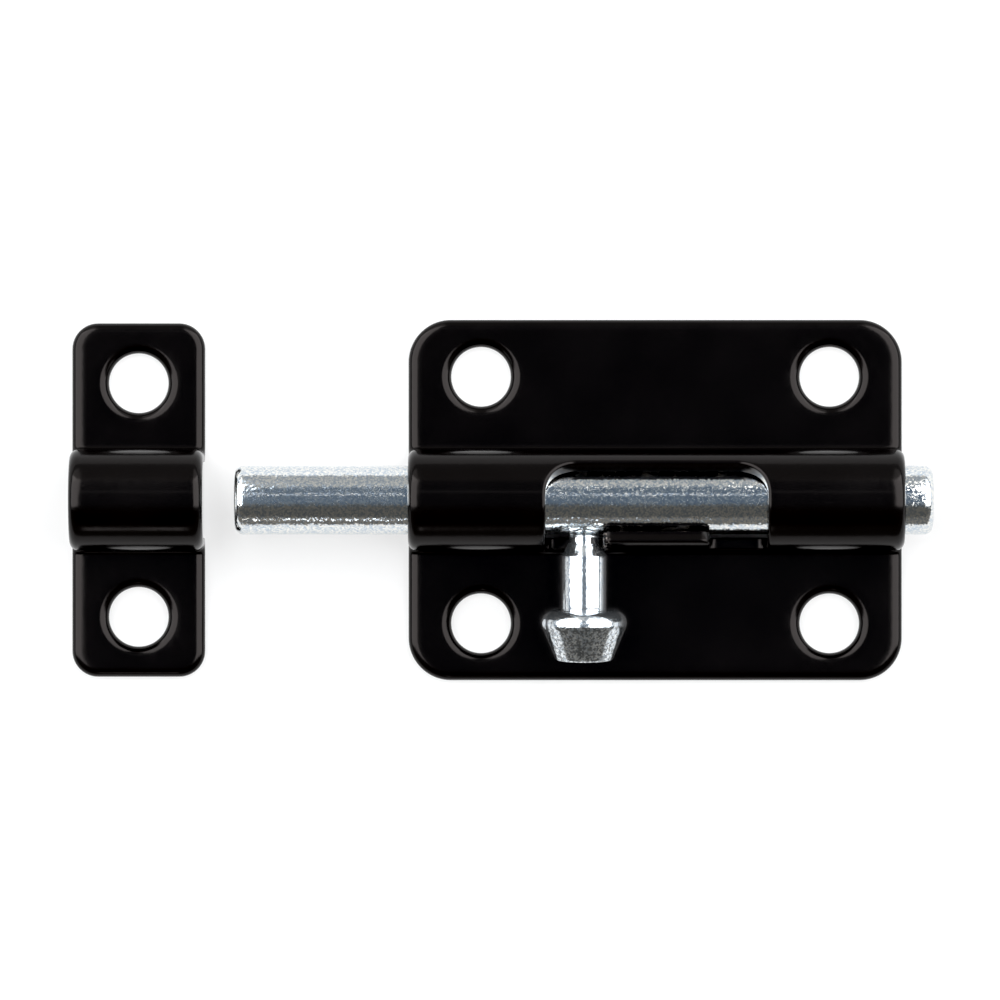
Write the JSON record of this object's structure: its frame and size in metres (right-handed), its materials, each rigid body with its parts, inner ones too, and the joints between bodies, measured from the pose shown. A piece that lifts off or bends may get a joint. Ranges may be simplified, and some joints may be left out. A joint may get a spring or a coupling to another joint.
{
  "type": "barrel bolt latch",
  "caption": "Surface-mounted barrel bolt for a door: a stamped base plate whose barrel guides a sliding, turning rod with a side handle, and a separate strike plate with a loop.",
  "frame": {"origin": "Centre of the base plate's four screw holes, on the back of the plate.", "axes": "+X along the rod, the way the bolt is drawn back; +Z out of the mounting surface; the resting handle points to -Y."},
  "size_m": [0.0996, 0.0418, 0.0136],
  "materials": {
    "black_coat": "smooth semi-gloss black coating on stamped steel",
    "zinc_rod": "clear zinc plating over drawn bar, finely speckled blue-grey",
    "bright_zinc": "bright zinc plating over turned steel"
  },
  "bodies": {
    "plates": {"base_plate": "black_coat", "strike_plate": "black_coat"},
    "bolt": {"bolt_rod": "zinc_rod"},
    "handle": {"handle": "bright_zinc"}
  },
  "joints": [
    {"name": "bolt_slide", "type": "slide", "parent": "plates", "child": "bolt", "axis": [1, 0, 0], "range_m": [-0.002, 0.0186]},
    {"name": "handle_turn", "type": "hinge", "parent": "bolt", "child": "handle", "pos_m": [-0.0083, 0, 0.00775], "axis": [-1, 0, 0], "range_deg": [0, 109]}
  ]
}
